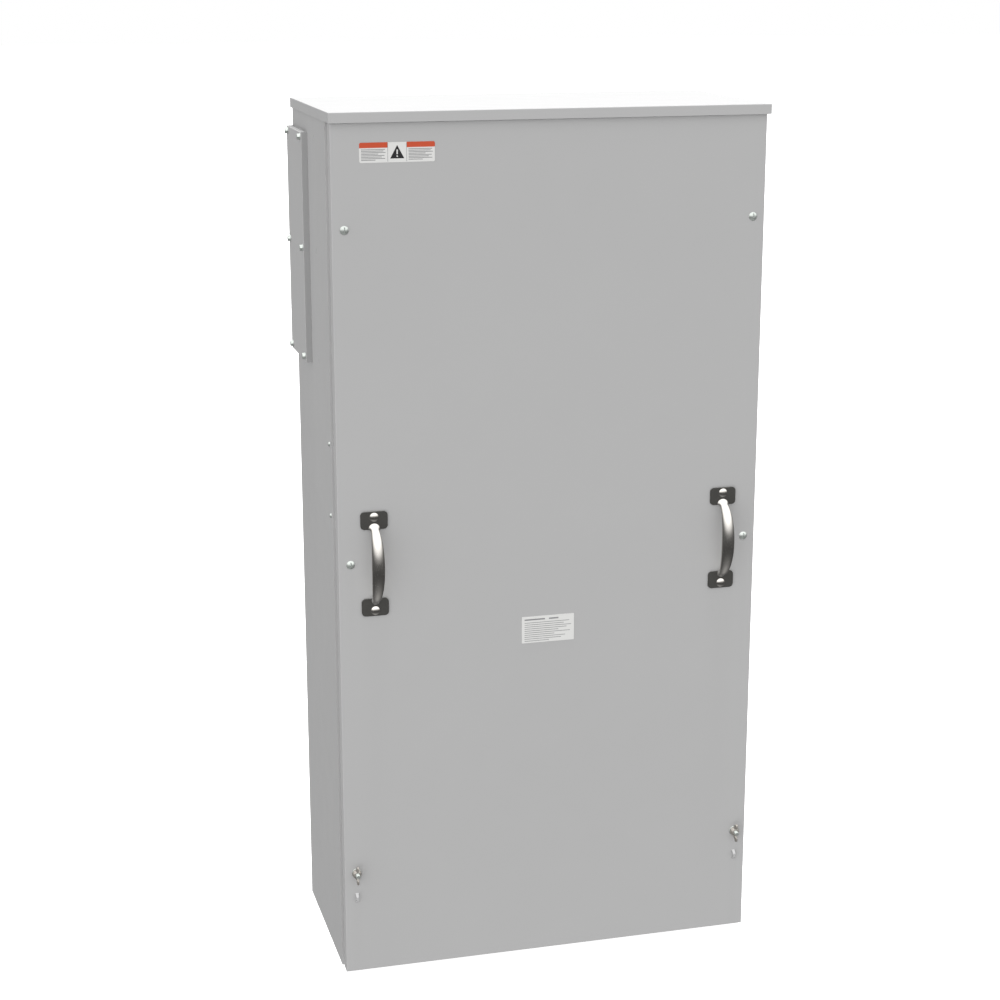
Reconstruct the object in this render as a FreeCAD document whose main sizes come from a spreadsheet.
"""Automatic transfer switch in an outdoor sheet-metal enclosure.

Millimetres. X runs to the right, Y into the cabinet and Z up. The origin is the bottom centre of the
enclosure. The front cover faces -Y.
"""

import FreeCAD, Part
import math
import os
import re

import Sketcher
from FreeCAD import Rotation, Vector

# Driving dimensions, one spreadsheet row each.
SIZES = {
    # Enclosure shell
    "cabinet_width": 610,
    "cabinet_depth": 292,
    "cabinet_height": 1235,
    "gauge": 2,
    "overrun": 1,
    "shoulder_setback": 35,
    "shoulder_flange": 15,
    "sill_height": 25,
    "collar_inset": 3.5,
    "collar_setback": 5,
    "collar_flange": 26.5,
    "collar_clearance": 1.5,
    "roof_side_overhang": 3,
    "roof_front_overhang": 8,
    "roof_lip": 14,
    "bend_radius": 1,
    "wall_hole_spacing_x": 540,
    "wall_hole_spacing_z": 1145,
    "wall_hole_bottom": 45,
    "wall_hole_radius": 4.75,
    "gland_opening_width": 360,
    "gland_opening_depth": 180,
    "gland_lap": 15,
    "knockout_radius": 32,
    "knockout_pitch": 84,
    "knockout_pitch_x": 109.2,
    "knockout_groove": 1,
    # Front cover
    "cover_bottom": 6.3,
    "cover_top_gap": 0.6,
    "cover_flange": 17,
    "fixing_x": 288,
    "upper_screw_height": 1080.7,
    "lower_screw_height": 620.3,
    "stud_height": 159.8,
    "stud_radius": 3.175,
    "stud_reach": 14.5,
    "stud_chamfer": 1,
    "stud_head_radius": 7,
    "screw_head_radius": 6,
    "screw_head_height": 4.2,
    "slot_width": 1.4,
    "slot_depth": 1.8,
    "clip_thickness": 1.5,
    "clip_nut_height": 4.5,
    "clip_nut_wall": 2.4,
    "gasket_width": 8,
    "gasket_gap": 0.2,
    "washer_radius": 7,
    "washer_thickness": 1.4,
    "nut_height": 7,
    "nut_base_radius": 6.6,
    "nut_top_radius": 5,
    "wing_shoulder": 2.5,
    "wing_shoulder_rise": 9.5,
    "wing_tip": 9.6,
    "wing_tip_rise": 13.8,
    "wing_tip_half_width": 1.4,
    "wing_corner": 12.3,
    "wing_corner_rise": 8.2,
    "wing_corner_half_width": 2.2,
    "wing_root": 6.4,
    "wing_root_rise": 4,
    "running_gap": 0.05,
    "seal_loop_width": 4.6,
    "seal_loop_height": 14.8,
    "seal_loop_reach": 6.5,
    "seal_loop_leg": 4.5,
    "seal_loop_thickness": 1.6,
    "seal_loop_bottom": 114.2,
    "safety_label_left": -266.3,
    "safety_label_bottom": 1168.3,
    "safety_label_width": 101.9,
    "safety_label_height": 26.4,
    "rating_label_left": -43.3,
    "rating_label_bottom": 485,
    "rating_label_width": 77.3,
    "rating_label_height": 39.3,
    "label_thickness": 0.4,
    # Pull handles
    "handle_x": 254.6,
    "handle_middle": 619.8,
    "handle_span": 99,
    "handle_reach": 28.6,
    "handle_half_width": 8.4,
    "handle_neck_radius": 4.6,
    "handle_foot_radius": 8.6,
    "handle_foot_height": 6,
    "handle_plate_width": 38,
    "handle_plate_height": 25,
    "handle_plate_thickness": 2.5,
    "handle_plate_offset": 62.3,
    "handle_plate_corner": 5.5,
    "handle_screw_offset": 67.2,
    "handle_screw_radius": 2.5,
    # Side access cover
    "side_cover_front": 24,
    "side_cover_bottom": 873,
    "side_cover_height": 322.5,
    "side_cover_depth": 9,
    "side_screw_front": 32,
    "side_screw_back": 134,
    "side_screw_low": 881,
    "side_screw_pitch": 154,
    "side_opening_margin": 20,
    "hex_across": 8.4,
    "hex_height": 3.4,
    "hex_flange_radius": 4.9,
    "hex_flange_height": 1.1,
    "small_screw_radius": 2.4,
    "dimple_y": -28,
    "dimple_radius": 4,
    "dimple_depth": 0.4,
    "bracket_y": -98,
    "bracket_screw_low": 679.3,
    "bracket_screw_pitch": 102,
    "bracket_screw_head_radius": 3.6,
    "bracket_screw_head_height": 2.4,
    "bracket_width": 20,
    "bracket_leg": 32,
    # Mounting panel
    "panel_width": 524,
    "panel_bottom": 60,
    "panel_top": 1185,
    "panel_gauge": 2.5,
    "panel_standoff": 23.5,
    "standoff_radius": 8,
    "standoff_inset_x": 17,
    "standoff_inset_z": 25,
    "panel_nut_across": 10,
    "panel_nut_height": 5,
    "panel_stud_radius": 3,
    "panel_stud_end": 3,
    "foot_reach": 16,
    "foot_thickness": 4,
    "foot_screw": 8,
    "device_screw_radius": 2.4,
    "device_screw_head_radius": 4.5,
    "device_screw_head_height": 3,
    # Transfer mechanism
    "pole_pitch": 50,
    "shaft_y": 60,
    "shaft_z": 750,
    "shaft_radius": 6,
    "shaft_left": 112,
    "shaft_right": 110,
    "contact_angle": 20,
    "arm_length": 55,
    "arm_width": 14,
    "arm_thickness": 8,
    "contact_reach": 46,
    "contact_radius": 5,
    "contact_gap": 0.2,
    "crossbar_half": 12,
    "crossbar_reach": 76,
    "collar_ring_radius": 20,
    "base_half_width": 88,
    "base_bottom": 500,
    "base_top": 900,
    "base_thickness": 20,
    "base_screw_x": 82,
    "base_screw_inset": 12,
    "pedestal_bottom": 640,
    "pedestal_height": 50,
    "bar_thickness": 6,
    "bar_half_width": 12,
    "wide_bar_half": 18,
    "load_bar_half": 10,
    "bar_front": 12,
    "emergency_riser_y": 60,
    "emergency_bar_end": 620,
    "load_bar_top": 765,
    "load_bar_end": 510,
    "normal_bar_end": 955,
    "side_plate_inner": 80,
    "side_plate_thickness": 4,
    "side_plate_front": 35,
    "side_plate_half_height": 50,
    "bush_radius": 9,
    "bush_half_length": 4,
    "barrier_thickness": 3,
    "barrier_front": -45,
    "barrier_bottom": 570,
    "barrier_top": 880,
    "barrier_hole_radius": 19,
    "chute_front": -40,
    "chute_back": 2,
    "chute_height": 50,
    "chute_gap": 5,
    "chute_slot": 4,
    "chute_wall": 5,
    "chute_lead": 3,
    "crank_radius": 35,
    "crank_thickness": 6,
    "crank_half_height": 7,
    "pin_radius": 4,
    "pin_length": 16,
    "clevis_gap": 2,
    "clevis_width": 12,
    "clevis_half_depth": 14,
    "clevis_slot_depth": 7,
    "clevis_half_height": 9,
    "clevis_slot_half": 4.4,
    "plunger_y": 26,
    "plunger_radius": 9,
    "plunger_length": 90,
    "solenoid_bottom": 632,
    "solenoid_height": 88,
    "solenoid_plate": 5,
    "solenoid_half_width": 22,
    "coil_radius": 20,
    "cheek_lip": 3,
    "cheek_thickness": 4,
    "lever_hub_length": 14,
    "lever_hub_radius": 11,
    "lever_inset": 3,
    "lever_thickness": 8,
    "lever_half_width": 5,
    "lever_length": 104,
    "lever_grip_radius": 9,
    "lever_grip_length": 50,
    "indicator_offset": 16,
    "indicator_thickness": 5,
    "indicator_radius": 16,
    "switch_offset": 30,
    "switch_width": 10,
    "switch_setback": 10,
    "switch_depth": 22,
    "switch_half_height": 14,
    "switch_lever_inset": 4,
    "switch_lever_thickness": 2,
    "switch_lever_length": 6,
    "switch_lever_half_height": 8,
    "lug_width": 28,
    "lug_height": 36,
    "lug_depth": 30,
    "lug_opening": 17,
    "lug_screw_stand": 2,
    "lug_screw_gap": 4,
    "service_lug_setback": 4,
    "lug_screw_radius": 5,
    "socket_across": 5,
    # Service circuit breaker
    "breaker_half_width": 75,
    "breaker_bottom": 935,
    "breaker_top": 1145,
    "breaker_front": 10,
    "breaker_split": 60,
    "breaker_corner": 4,
    "ear_reach": 12,
    "ear_thickness": 5,
    "ear_low": 40,
    "ear_high": 170,
    "terminal_depth": 38,
    "terminal_floor": 12,
    "access_half": 7,
    "toggle_y": 32,
    "toggle_z": 1040,
    "toggle_angle": 18,
    "toggle_barrel_radius": 14,
    "toggle_length": 46,
    "toggle_half_width": 9,
    "toggle_half_thickness": 6,
    "toggle_well_gap": 3,
    "toggle_well_half": 22,
    "toggle_well_floor": 8,
    "trip_x": 48,
    "trip_z": 1000,
    "trip_radius": 4,
    "trip_stand": 4,
    "trip_length": 22,
    # Controls
    "controller_left": 150,
    "controller_width": 90,
    "controller_bottom": 900,
    "controller_height": 180,
    "controller_depth": 60,
    "controller_screw_inset": 20,
    "bezel_inset": 10,
    "bezel_drop": 14,
    "bezel_height": 48,
    "bezel_depth": 1.5,
    "button_x": 24,
    "button_z": 84,
    "button_radius": 6,
    "button_stand": 5,
    "button_length": 14,
    "knob_x": 45,
    "knob_z": 36,
    "knob_radius": 13,
    "knob_height": 16,
    "knob_skirt": 3,
    "knob_gap": 0.5,
    "knob_half_width": 3.5,
    "knob_stem_radius": 4,
    "knob_stem_length": 12,
    "control_hole_depth": 20,
    "fuse_left": -250,
    "fuse_bottom": 620,
    "fuse_width": 80,
    "fuse_height": 80,
    "fuse_depth": 38,
    "fuse_foot_inset": 20,
    "fuse_wall": 12,
    "fuse_floor": 8,
    "carrier_gap": 0.5,
    "carrier_stand": 4,
    "bail_inset": 30,
    "bail_half_height": 16,
    "bail_reach": 14,
    "bail_thickness": 5,
    "transformer_left": 150,
    "transformer_bottom": 600,
    "transformer_width": 84,
    "transformer_height": 90,
    "transformer_depth": 70,
    "core_setback": 14,
    "winding_inset": 18,
    "winding_lift": 3,
    "winding_trim": 16,
    "bracket_inset": 12,
    "strip_left": -250,
    "strip_bottom": 505,
    "strip_pitch": 12,
    "strip_height": 44,
    "strip_depth": 46,
    "strip_gap": 0.3,
    "rail_depth": 7,
    "rail_trim": 8,
    "rail_gap": 0.1,
    "notch_wall": 2.5,
    "notch_depth": 8,
    "notch_inset": 6,
    "notch_height": 8,
    "neutral_left": 105,
    "neutral_bottom": 410,
    "neutral_width": 140,
    "neutral_height": 28,
    "neutral_depth": 18,
    "insulator_length": 24,
    "insulator_radius": 11,
    "ground_left": -250,
    "ground_bottom": 120,
    "ground_width": 120,
    "ground_height": 14,
    "ground_depth": 14,
    "ground_screw_radius": 4,
    "ground_screw_height": 3,
    "harness_radius": 5,
    "harness_y": 108,
    "harness_x": 253,
    "harness_left": -256,
    "harness_z": 476,
    "harness_top": 1060,
}

HALF = "(cabinet_width / 2)"
FRONT = "(-cabinet_depth / 2)"
BACK = "(cabinet_depth / 2)"
SHOULDER = f"({FRONT} + shoulder_setback)"
COLLAR = f"({FRONT} + collar_setback)"
CEILING = "(cabinet_height - gauge)"
COVER_TOP = "(cabinet_height - roof_lip - cover_top_gap)"
COLLAR_HALF = f"({HALF} - collar_inset)"
COLLAR_BOTTOM = "(cover_bottom + gauge + collar_clearance)"
COLLAR_TOP = f"({COVER_TOP} - gauge - collar_clearance)"
PANEL_BACK = f"({BACK} - gauge - panel_standoff)"
PANEL = f"({PANEL_BACK} - panel_gauge)"
BASE = f"({PANEL} - base_thickness)"
POLES = (-1, 0, 1)
SIDES = (-1, 1)
SIDE_SCREW_ROWS = 3
KNOCKOUT_COLUMNS = (-1, 0, 1)
CHUTE_SLOTS = 6
TERMINALS = 9
NEUTRAL_WAYS = 4
GROUND_WAYS = 8
GRIP_SECTIONS = 8
# Direction in which a round or hexagonal primitive grows from its starting point.
DIRECTIONS = {
    "+x": Rotation(Vector(0, 1, 0), 90),
    "-x": Rotation(Vector(0, 1, 0), -90),
    "+y": Rotation(Vector(1, 0, 0), -90),
    "-y": Rotation(Vector(1, 0, 0), 90),
    "+z": Rotation(),
    "-z": Rotation(Vector(1, 0, 0), 180),
}
OPPOSITE = {"+x": "-x", "-x": "+x", "+y": "-y", "-y": "+y", "+z": "-z", "-z": "+z"}

doc = FreeCAD.newDocument("transfer_switch")
sub_parts = []


# ---------------------------------------------------------------- sheet and expressions


def fill_sheet():
    """Write the driving dimensions into the document's spreadsheet."""
    sheet = doc.addObject("Spreadsheet::Sheet", "sizes")
    for row, (alias, value) in enumerate(SIZES.items(), start=1):
        sheet.set(f"A{row}", alias)
        sheet.set(f"B{row}", str(value))
        sheet.setAlias(f"B{row}", alias)
    doc.recompute()


ALIASES = re.compile(r"\b(" + "|".join(SIZES) + r")\b")


def spell(expression):
    """An expression in which each driving dimension is read from the sheet."""
    return ALIASES.sub(r"sizes.\1", str(expression))


def bind(item, name, expression):
    item.setExpression(name, spell(expression))


def place(item, point, rotation=None):
    if rotation:
        item.Placement.Rotation = rotation
    for axis, expression in zip("xyz", point):
        bind(item, f".Placement.Base.{axis}", expression)


# ---------------------------------------------------------------- primitives


def block(x, y, z):
    """A box between two expressions on each axis."""
    box = doc.addObject("Part::Box", "Block")
    for name, (low, high) in zip(("Length", "Width", "Height"), (x, y, z)):
        bind(box, name, f"({high}) - ({low})")
    place(box, (x[0], y[0], z[0]))
    return box


def rod(direction, point, length, radius, tip=None):
    """A round bar, or a cone where the radius at its tip differs."""
    item = doc.addObject("Part::Cylinder" if tip is None else "Part::Cone", "Rod")
    if tip is None:
        bind(item, "Radius", radius)
    else:
        bind(item, "Radius1", radius)
        bind(item, "Radius2", tip)
    bind(item, "Height", length)
    place(item, point, DIRECTIONS[direction])
    return item


def hexagon(direction, point, length, across):
    prism = doc.addObject("Part::Prism", "Hexagon")
    prism.Polygon = 6
    bind(prism, "Circumradius", f"({across}) / sqrt(3)")
    bind(prism, "Height", length)
    place(prism, point, DIRECTIONS[direction])
    return prism


def dome(direction, point, height, radius):
    """A spherical cap that stands on its flat face."""
    ball_radius = f"((({radius})^2 + ({height})^2) / (2 * ({height})))"
    cap = doc.addObject("Part::Sphere", "Dome")
    bind(cap, "Radius", ball_radius)
    bind(cap, "Angle1", f"asin(({ball_radius} - ({height})) / {ball_radius})")
    axis = "xyz".index(direction[1])
    sign = "-" if direction[0] == "+" else "+"
    centre = list(point)
    centre[axis] = f"({point[axis]}) {sign} ({ball_radius} - ({height}))"
    place(cap, centre, DIRECTIONS[direction])
    return cap


def moved(point, direction, distance):
    """A point carried along a direction."""
    axis = "xyz".index(direction[1])
    result = list(point)
    result[axis] = f"({point[axis]}) {direction[0]} ({distance})"
    return result


# ---------------------------------------------------------------- booleans and bodies


def fuse(*items):
    joined = doc.addObject("Part::MultiFuse", "Fuse")
    joined.Shapes = list(items)
    joined.Refine = True
    return joined


def group(items):
    """Separate solids kept in one sub-part."""
    compound = doc.addObject("Part::Compound", "Group")
    compound.Links = list(items)
    return compound


def cut(base, *tools):
    result = doc.addObject("Part::Cut", "Cut")
    result.Base = base
    result.Tool = tools[0] if len(tools) == 1 else group(tools)
    return result


def sub_part(item, label):
    """Name a finished piece; the name is also the name of its file."""
    item.Label = label
    sub_parts.append(item)
    return item


def draw(body, role, offset, points):
    """A closed outline on an origin plane, each corner held by two dimensions from the origin."""
    plane = next(item for item in body.Origin.OriginFeatures if item.Role == role)
    sketch = body.newObject("Sketcher::SketchObject", "Outline")
    sketch.AttachmentSupport = [(plane, "")]
    sketch.MapMode = "FlatFace"
    bind(sketch, ".AttachmentOffset.Base.z", offset)
    count = len(points)
    turns = [2 * math.pi * number / count for number in range(count)]
    corners = [Vector(math.cos(turn), math.sin(turn), 0) for turn in turns]
    for number in range(count):
        following = (number + 1) % count
        sketch.addGeometry(Part.LineSegment(corners[number], corners[following]))
    for number in range(count):
        sketch.addConstraint(Sketcher.Constraint("Coincident", number, 2, (number + 1) % count, 1))
    for number, (across, up) in enumerate(points):
        start = corners[number]
        for kind, expression, value in (("DistanceX", across, start.x), ("DistanceY", up, start.y)):
            index = sketch.addConstraint(Sketcher.Constraint(kind, -1, 1, number, 1, value))
            name = f"{kind[-1]}{number}"
            sketch.renameConstraint(index, name)
            bind(sketch, "Constraints." + name, expression)
    return sketch


def padded(role, offset, points, length, midplane=False, reverse=False):
    """A new body with one outline padded along its plane's normal."""
    body = doc.addObject("PartDesign::Body", "Body")
    sketch = draw(body, role, offset, points)
    pad = body.newObject("PartDesign::Pad", "Pad")
    pad.Profile = sketch
    pad.Midplane = midplane
    pad.Reversed = reverse
    bind(pad, "Length", length)
    doc.recompute()
    return body


def rectangle(left, bottom, right, top):
    return [(left, bottom), (right, bottom), (right, top), (left, top)]


def mirrored(points):
    """A right-hand outline closed by its own mirror image across the Z axis."""
    return points + [(f"-({across})", up) for across, up in reversed(points)]


def round_edges(body, radius, chosen):
    """Fillet the edges of a body that the test picks."""
    base = body.Tip
    edges = [f"Edge{n}" for n, edge in enumerate(base.Shape.Edges, start=1) if chosen(edge)]
    fillet = body.newObject("PartDesign::Fillet", "Bend")
    fillet.Base = (base, edges)
    bind(fillet, "Radius", radius)
    doc.recompute()


def on_plane(axis, value):
    """A test: does a face or edge lie wholly on the plane where this axis has this value?"""

    def test(shape):
        box = shape.BoundBox
        low, high = getattr(box, axis + "Min"), getattr(box, axis + "Max")
        return abs(low - value) < 1e-4 and abs(high - value) < 1e-4

    return test


# ---------------------------------------------------------------- fasteners


def slotted_screw(direction, point, radius, length):
    """A round-head screw with an upright slot; the point is under the head."""
    head = dome(direction, point, "screw_head_height", "screw_head_radius")
    axis = "xyz".index(direction[1])
    top = moved(point, direction, "screw_head_height - slot_depth")
    reach = moved(point, direction, "screw_head_height + overrun")
    sides = [(f"({c}) - slot_width / 2", f"({c}) + slot_width / 2") for c in point]
    sides[2] = (f"({point[2]}) - screw_head_radius", f"({point[2]}) + screw_head_radius")
    sides[axis] = (reach[axis], top[axis]) if direction[0] == "-" else (top[axis], reach[axis])
    shank = rod(OPPOSITE[direction], point, length, radius)
    return cut(fuse(head, shank), block(*sides))


def round_screw(direction, point, radius, length):
    head = dome(direction, point, "screw_head_height", "screw_head_radius")
    return fuse(head, rod(OPPOSITE[direction], point, length, radius))


def hex_screw(direction, point, length):
    flange = rod(direction, point, "hex_flange_height", "hex_flange_radius")
    head = hexagon(direction, point, "hex_height + hex_flange_height", "hex_across")
    return fuse(flange, head, rod(OPPOSITE[direction], point, length, "small_screw_radius"))


def device_screw(direction, point, length):
    """A pan-head machine screw with a straight slot."""
    head = rod(direction, point, "device_screw_head_height", "device_screw_head_radius",
               "device_screw_head_radius * 0.8")
    return fuse(head, rod(OPPOSITE[direction], point, length, "device_screw_radius"))


def set_screw(direction, point, length):
    """A hexagon-socket set screw whose outer end is at the point."""
    body = rod(OPPOSITE[direction], point, length, "lug_screw_radius")
    return cut(body, hexagon(OPPOSITE[direction], point, f"({length}) / 2", "socket_across"))


# ---------------------------------------------------------------- enclosure


def cover_screw_places():
    return [
        (f"{side} * fixing_x", height)
        for side in SIDES
        for height in ("upper_screw_height", "lower_screw_height")
    ]


def wall_holes():
    spots = ("wall_hole_bottom", "wall_hole_bottom + wall_hole_spacing_z")
    return [
        rod("+y", (f"{side} * wall_hole_spacing_x / 2", f"{BACK} - 2 * gauge", z),
            "4 * gauge", "wall_hole_radius")
        for side in SIDES
        for z in spots
    ]


def side_screw_places():
    return [
        (y, f"side_screw_low + {row} * side_screw_pitch")
        for y in ("side_screw_front", "side_screw_back")
        for row in range(SIDE_SCREW_ROWS)
    ]


def bracket_screw_places():
    return [f"bracket_screw_low + {row} * bracket_screw_pitch" for row in range(2)]


def enclosure_body():
    """Back and side walls folded from one sheet, with the wall and access holes."""
    points = [
        (HALF, BACK),
        (HALF, SHOULDER),
        (f"{HALF} - shoulder_flange", SHOULDER),
        (f"{HALF} - shoulder_flange", f"{SHOULDER} + gauge"),
        (f"{HALF} - gauge", f"{SHOULDER} + gauge"),
        (f"{HALF} - gauge", f"{BACK} - gauge"),
    ]
    wrap = padded("XY_Plane", "0", mirrored(points), CEILING)
    width = SIZES["cabinet_width"] / 2
    back = SIZES["cabinet_depth"] / 2

    def is_corner(edge):
        box = edge.BoundBox
        upright = box.ZLength > 1
        outside = abs(abs(box.XMin) - width) < 1e-4
        return upright and outside and abs(abs(box.YMin) - back) < 1e-4

    round_edges(wrap, "bend_radius", is_corner)
    outer = f"-{HALF} - gauge"
    holes = wall_holes()
    margin = "side_opening_margin"
    holes.append(block(
        (outer, f"-{HALF} + 2 * gauge"),
        (f"side_cover_front + {margin}", f"{BACK} - {margin}"),
        (f"side_cover_bottom + {margin}", f"side_cover_bottom + side_cover_height - {margin}"),
    ))
    for y, z in side_screw_places():
        holes.append(rod("+x", (outer, y, z), "4 * gauge", "small_screw_radius + gasket_gap"))
    for row in range(SIDE_SCREW_ROWS):
        point = (f"-{HALF} - gauge + dimple_depth", "dimple_y",
                 f"side_screw_low + {row} * side_screw_pitch + small_screw_radius")
        holes.append(rod("+x", point, "gauge", "dimple_radius"))
    for z in bracket_screw_places():
        holes.append(rod("+x", (outer, "bracket_y", z), "4 * gauge",
                         "small_screw_radius + gasket_gap"))
    sub_part(cut(wrap, *holes), "enclosure_body")


def base_pan():
    """Bottom tray with upturned edges and the opening for the gland plate."""
    fit = "gasket_gap"
    half = f"({HALF} - gauge - {fit})"
    front = f"({SHOULDER} + gauge + {fit})"
    back = f"({BACK} - gauge - {fit})"
    tray = block((f"-{half}", half), (front, back), ("0", "8 * gauge"))
    inside = block((f"-{half} + gauge", f"{half} - gauge"), (f"{front} + gauge", f"{back} - gauge"),
                   ("gauge", "9 * gauge"))
    opening = block(("-gland_opening_width / 2", "gland_opening_width / 2"),
                    ("-gland_opening_depth / 2", "gland_opening_depth / 2"), ("-gauge", "2 * gauge"))
    holes = [rod("+z", (x, y, "-gauge"), "4 * gauge", "device_screw_radius + gasket_gap")
             for x, y in gland_screw_places()]
    sub_part(cut(tray, inside, opening, *holes), "base_pan")


def gland_screw_places():
    lap = "gland_lap / 2"
    return [
        (f"{column} * (gland_opening_width / 2 + {lap})", f"{row} * (gland_opening_depth / 2 - {lap})")
        for column in SIDES
        for row in SIDES
    ]


def gland_plate():
    """Removable floor plate with pre-scored conduit knockouts."""
    lap = "gland_lap"
    plate = block((f"-gland_opening_width / 2 - {lap}", f"gland_opening_width / 2 + {lap}"),
                  ("-gland_opening_depth / 2 - gauge * 3", "gland_opening_depth / 2 + gauge * 3"),
                  ("gauge", "2 * gauge"))
    scores = []
    for column in KNOCKOUT_COLUMNS:
        for row in SIDES:
            centre = (f"{column} * knockout_pitch_x", f"{row} * knockout_pitch / 2",
                      "2 * gauge - knockout_groove / 2")
            ring = rod("+z", centre, "gauge", "knockout_radius")
            scores.append(cut(ring, rod("+z", centre, "gauge", "knockout_radius - knockout_groove")))
    holes = [rod("+z", (x, y, "0"), "4 * gauge", "device_screw_radius + gasket_gap")
             for x, y in gland_screw_places()]
    sub_part(cut(plate, *scores, *holes), "gland_plate")


def roof():
    """Flat drip roof with lips turned down at the front and the sides."""
    half = f"({HALF} + roof_side_overhang)"
    front = f"({FRONT} - roof_front_overhang)"
    body = padded("XY_Plane", "cabinet_height - roof_lip", rectangle(f"-{half}", front, half, BACK),
                  "roof_lip")
    top = on_plane("Z", SIZES["cabinet_height"])
    back = on_plane("Y", SIZES["cabinet_depth"] / 2)
    round_edges(body, "bend_radius", lambda edge: top(edge) and not back(edge))
    room = block((f"-{half} + gauge", f"{half} - gauge"), (f"{front} + gauge", f"{BACK} + overrun"),
                 ("cabinet_height - roof_lip - overrun", "cabinet_height - gauge"))
    sub_part(cut(body, room), "roof")


def front_collar():
    """Inset frame that the cover laps over, with the rails that close the front above and below."""
    ring = block((f"-{COLLAR_HALF}", COLLAR_HALF), (COLLAR, SHOULDER), (COLLAR_BOTTOM, COLLAR_TOP))
    rail_half = f"({HALF} - shoulder_flange - gasket_gap)"
    sill = block((f"-{rail_half}", rail_half), (SHOULDER, f"{SHOULDER} + gauge"),
                 ("0", "sill_height"))
    header = block((f"-{rail_half}", rail_half), (SHOULDER, f"{SHOULDER} + gauge"),
                   (f"{CEILING} - sill_height - gauge * 2", CEILING))
    inside = block((f"-{COLLAR_HALF} + gauge", f"{COLLAR_HALF} - gauge"),
                   (f"{COLLAR} + gauge", f"{SHOULDER}"),
                   (f"{COLLAR_BOTTOM} + gauge", f"{COLLAR_TOP} - gauge"))
    window = block((f"-{COLLAR_HALF} + collar_flange", f"{COLLAR_HALF} - collar_flange"),
                   (f"{COLLAR} - gauge", f"{COLLAR} + 2 * gauge"),
                   (f"{COLLAR_BOTTOM} + collar_flange", f"{COLLAR_TOP} - collar_flange"))
    holes = [rod("+y", (x, f"{COLLAR} - gauge", z), "4 * gauge", "stud_radius + gasket_gap * 2")
             for x, z in cover_screw_places()]
    holes += [rod("+y", (f"{side} * fixing_x", f"{COLLAR} - gauge", "stud_height"), "4 * gauge",
                  "stud_radius + running_gap") for side in SIDES]
    sub_part(cut(fuse(cut(ring, inside, window), sill, header), *holes), "front_collar")


def cover_studs():
    """Fixed studs for the wing nuts, with heads behind the collar flange."""
    studs = []
    for side in SIDES:
        point = (f"{side} * fixing_x", f"{COLLAR} + gauge", "stud_height")
        head = rod("+y", point, "gauge", "stud_head_radius")
        reach = "collar_setback + gauge + stud_reach"
        stem = rod("-y", point, f"{reach} - stud_chamfer", "stud_radius")
        end = moved(point, "-y", f"{reach} - stud_chamfer")
        tip = rod("-y", end, "stud_chamfer", "stud_radius", "stud_radius - stud_chamfer * 0.8")
        studs.append(fuse(head, stem, tip))
    sub_part(group(studs), "cover_studs")


def cover_nut_clips():
    """Clip nuts behind the collar flange that take the cover screws."""
    clips = []
    for x, z in cover_screw_places():
        start = f"({COLLAR} + gauge)"
        plate = block((f"{x} - stud_head_radius", f"{x} + stud_head_radius"),
                      (start, f"{start} + clip_thickness"),
                      (f"{z} - stud_head_radius * 1.6", f"{z} + stud_head_radius * 1.6"))
        nut = rod("+y", (x, start, z), "clip_thickness + clip_nut_height",
                  "stud_radius + clip_nut_wall")
        bore = rod("+y", (x, f"{start} - overrun", z), "clip_nut_height * 3",
                   "stud_radius + running_gap")
        clips.append(cut(fuse(plate, nut), bore))
    sub_part(group(clips), "cover_nut_clips")


def side_bracket():
    """Angle inside the left wall that keeps field wiring off the live parts."""
    inner = f"(-{HALF} + gauge)"
    low = "bracket_screw_low - bracket_width"
    high = "bracket_screw_low + bracket_screw_pitch + bracket_width"
    foot = block((inner, f"{inner} + gauge"), ("bracket_y - bracket_width / 2",
                 "bracket_y + bracket_width / 2"), (low, high))
    leg = block((inner, f"{inner} + bracket_leg"), ("bracket_y + bracket_width / 2 - gauge",
                "bracket_y + bracket_width / 2"), (low, high))
    holes = [rod("+x", (f"-{HALF}", "bracket_y", z), "4 * gauge", "small_screw_radius + gasket_gap")
             for z in bracket_screw_places()]
    sub_part(cut(fuse(foot, leg), *holes), "side_bracket")
    screws = []
    for z in bracket_screw_places():
        point = (f"-{HALF}", "bracket_y", z)
        head = dome("-x", point, "bracket_screw_head_height", "bracket_screw_head_radius")
        screws.append(fuse(head, rod("+x", point, "4 * gauge", "small_screw_radius")))
    sub_part(group(screws), "side_bracket_screws")


# ---------------------------------------------------------------- front cover


def handle_plate_places():
    return [(f"{side} * handle_x", end) for side in SIDES for end in SIDES]


def front_cover():
    """Lift-off pan cover with folded edges and its fixing holes."""
    body = padded("XZ_Plane", f"-{FRONT}", rectangle(f"-{HALF}", "cover_bottom", HALF, COVER_TOP),
                  "cover_flange", reverse=True)
    face = on_plane("Y", -SIZES["cabinet_depth"] / 2)
    round_edges(body, "bend_radius", face)
    before = f"{FRONT} - gauge"
    holes = [block((f"-{HALF} + gauge", f"{HALF} - gauge"),
                   (f"{FRONT} + gauge", f"{FRONT} + cover_flange + overrun"),
                   ("cover_bottom + gauge", f"{COVER_TOP} - gauge"))]
    holes += [rod("+y", (x, before, z), "4 * gauge", "stud_radius + gasket_gap * 2")
              for x, z in cover_screw_places()]
    for side in SIDES:
        holes.append(rod("+y", (f"{side} * fixing_x", before, "stud_height"), "4 * gauge",
                         "stud_radius + gasket_gap * 4"))
    for x, end in handle_plate_places():
        holes.append(rod("+y", (x, before, f"handle_middle + {end} * handle_screw_offset"),
                         "4 * gauge", "handle_screw_radius + gasket_gap"))
        holes.append(rod("+y", (x, before, f"handle_middle + {end} * handle_span / 2"),
                         "4 * gauge", "handle_screw_radius + gasket_gap"))
    sub_part(cut(body, *holes), "front_cover")


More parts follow.
